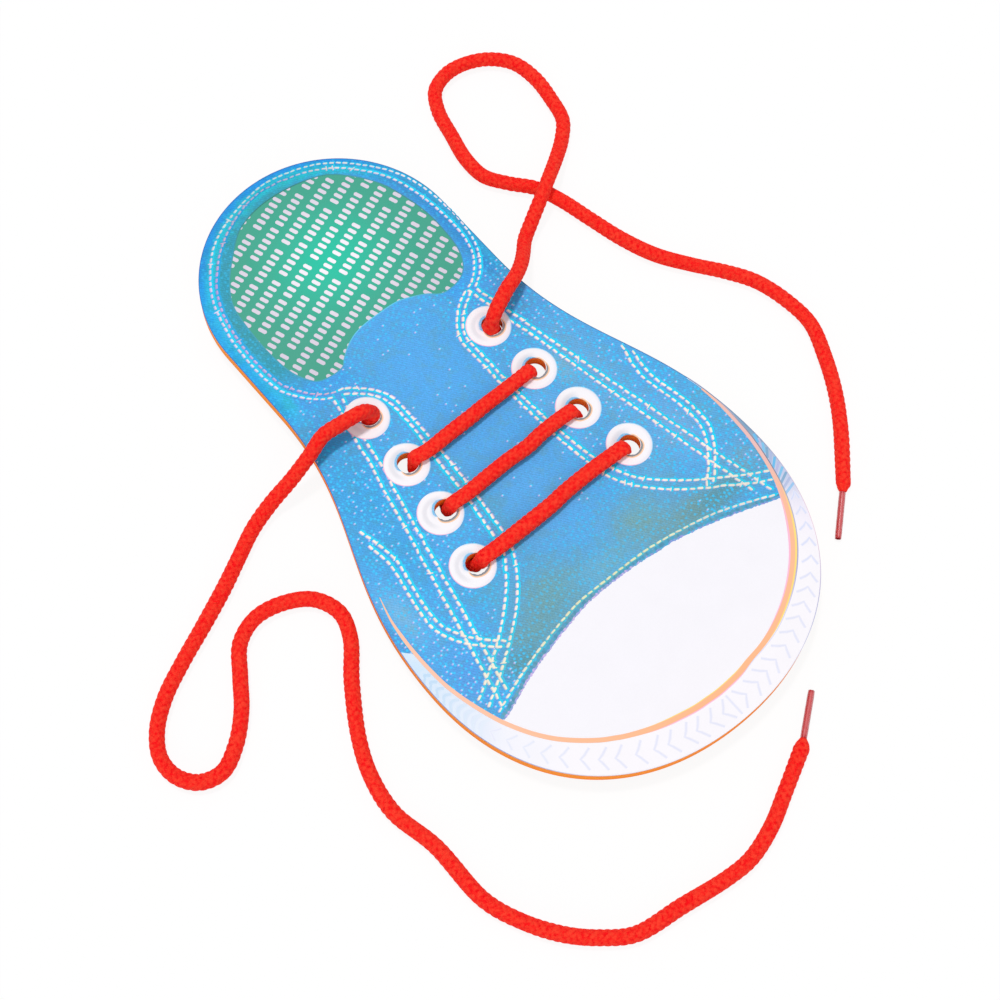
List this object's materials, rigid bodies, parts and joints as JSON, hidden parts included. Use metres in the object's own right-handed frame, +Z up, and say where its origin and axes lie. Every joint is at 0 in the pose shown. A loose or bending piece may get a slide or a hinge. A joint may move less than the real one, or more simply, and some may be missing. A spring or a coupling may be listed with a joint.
{
  "type": "lacing shoe toy",
  "caption": "Flat sneaker-shaped foam board with a printed face and punched lacing holes, threaded with one long round lace for tying practice.",
  "frame": {"origin": "on the surface that the toy lies on, under the middle of the board's length and width", "axes": "+Y along the board towards the heel, -Y towards the toe, +X to the shoe's right side as it is printed, +Z up out of the printed face"},
  "size_m": [0.2775, 0.2968, 0.0183],
  "materials": {
    "foam": "matte",
    "print": "satin",
    "lace": "matte",
    "aglet": "gloss"
  },
  "bodies": {
    "root": {"foam_board": "foam", "printed_face": "print", "lace_threaded": "lace", "lace_tail_left": "lace", "lace_tail_right": "lace", "aglet_left": "aglet", "aglet_right": "aglet"}
  },
  "joints": []
}
